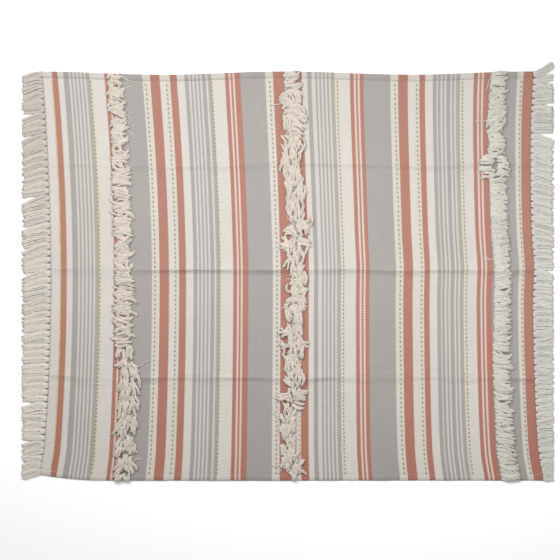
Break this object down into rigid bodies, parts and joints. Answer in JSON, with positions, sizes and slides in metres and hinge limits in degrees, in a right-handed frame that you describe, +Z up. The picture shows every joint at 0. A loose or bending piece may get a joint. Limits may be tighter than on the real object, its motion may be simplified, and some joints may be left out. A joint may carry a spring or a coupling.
{
  "type": "fringed woven throw",
  "caption": "Flat-woven striped cotton throw or floor mat with raised rows of yarn tufts, floating accent yarns, stitched hems and a tassel fringe on both ends.",
  "frame": {"origin": "middle of the whole footprint, fringe included, on the surface the throw lies on", "axes": "+X across the stripes, from the end whose stripes start with cream to the end that finishes in a wide coral stripe; +Y along the stripes, from one hem to the other; +Z up, out of the tufted face"},
  "size_m": [1.658, 1.2762, 0.0194],
  "materials": {
    "striped_cloth": "matte twill-woven cotton with cream, grey and coral stripes",
    "hem_thread": "matte cotton sewing thread",
    "gold_yarn": "matte dyed cotton yarn",
    "olive_yarn": "matte dyed cotton yarn",
    "tuft_yarn": "soft undyed plied cotton yarn, cut ends",
    "fringe_yarn": "soft undyed twisted cotton yarn"
  },
  "bodies": {
    "root": {"fringe_left_1": "fringe_yarn", "fringe_left_10": "fringe_yarn", "fringe_left_2": "fringe_yarn", "fringe_left_3": "fringe_yarn", "fringe_left_4": "fringe_yarn", "fringe_left_5": "fringe_yarn", "fringe_left_6": "fringe_yarn", "fringe_left_7": "fringe_yarn", "fringe_left_8": "fringe_yarn", "fringe_left_9": "fringe_yarn", "fringe_right_1": "fringe_yarn", "fringe_right_10": "fringe_yarn", "fringe_right_2": "fringe_yarn", "fringe_right_3": "fringe_yarn", "fringe_right_4": "fringe_yarn", "fringe_right_5": "fringe_yarn", "fringe_right_6": "fringe_yarn", "fringe_right_7": "fringe_yarn", "fringe_right_8": "fringe_yarn", "fringe_right_9": "fringe_yarn", "gold_edge_yarn": "gold_yarn", "ground_cloth": "striped_cloth", "hem_thread_far": "hem_thread", "hem_thread_near": "hem_thread", "olive_dot_yarn_1": "olive_yarn", "olive_dot_yarn_2": "olive_yarn", "olive_dot_yarn_3": "olive_yarn", "olive_dot_yarn_4": "olive_yarn", "olive_dot_yarn_5": "olive_yarn", "olive_dot_yarn_6": "olive_yarn", "olive_dot_yarn_7": "olive_yarn", "olive_edge_yarn_1": "olive_yarn", "olive_edge_yarn_2": "olive_yarn", "olive_edge_yarn_3": "olive_yarn", "olive_edge_yarn_4": "olive_yarn", "tufts_left_1": "tuft_yarn", "tufts_left_2": "tuft_yarn", "tufts_left_3": "tuft_yarn", "tufts_left_4": "tuft_yarn", "tufts_left_5": "tuft_yarn", "tufts_left_6": "tuft_yarn", "tufts_left_7": "tuft_yarn", "tufts_left_8": "tuft_yarn", "tufts_middle_1": "tuft_yarn", "tufts_middle_2": "tuft_yarn", "tufts_middle_3": "tuft_yarn", "tufts_middle_4": "tuft_yarn", "tufts_middle_5": "tuft_yarn", "tufts_middle_6": "tuft_yarn", "tufts_middle_7": "tuft_yarn", "tufts_middle_8": "tuft_yarn", "tufts_right_1": "tuft_yarn", "tufts_right_2": "tuft_yarn", "tufts_right_3": "tuft_yarn", "tufts_right_4": "tuft_yarn", "tufts_right_5": "tuft_yarn", "tufts_right_6": "tuft_yarn", "tufts_right_7": "tuft_yarn", "tufts_right_8": "tuft_yarn"}
  },
  "joints": []
}
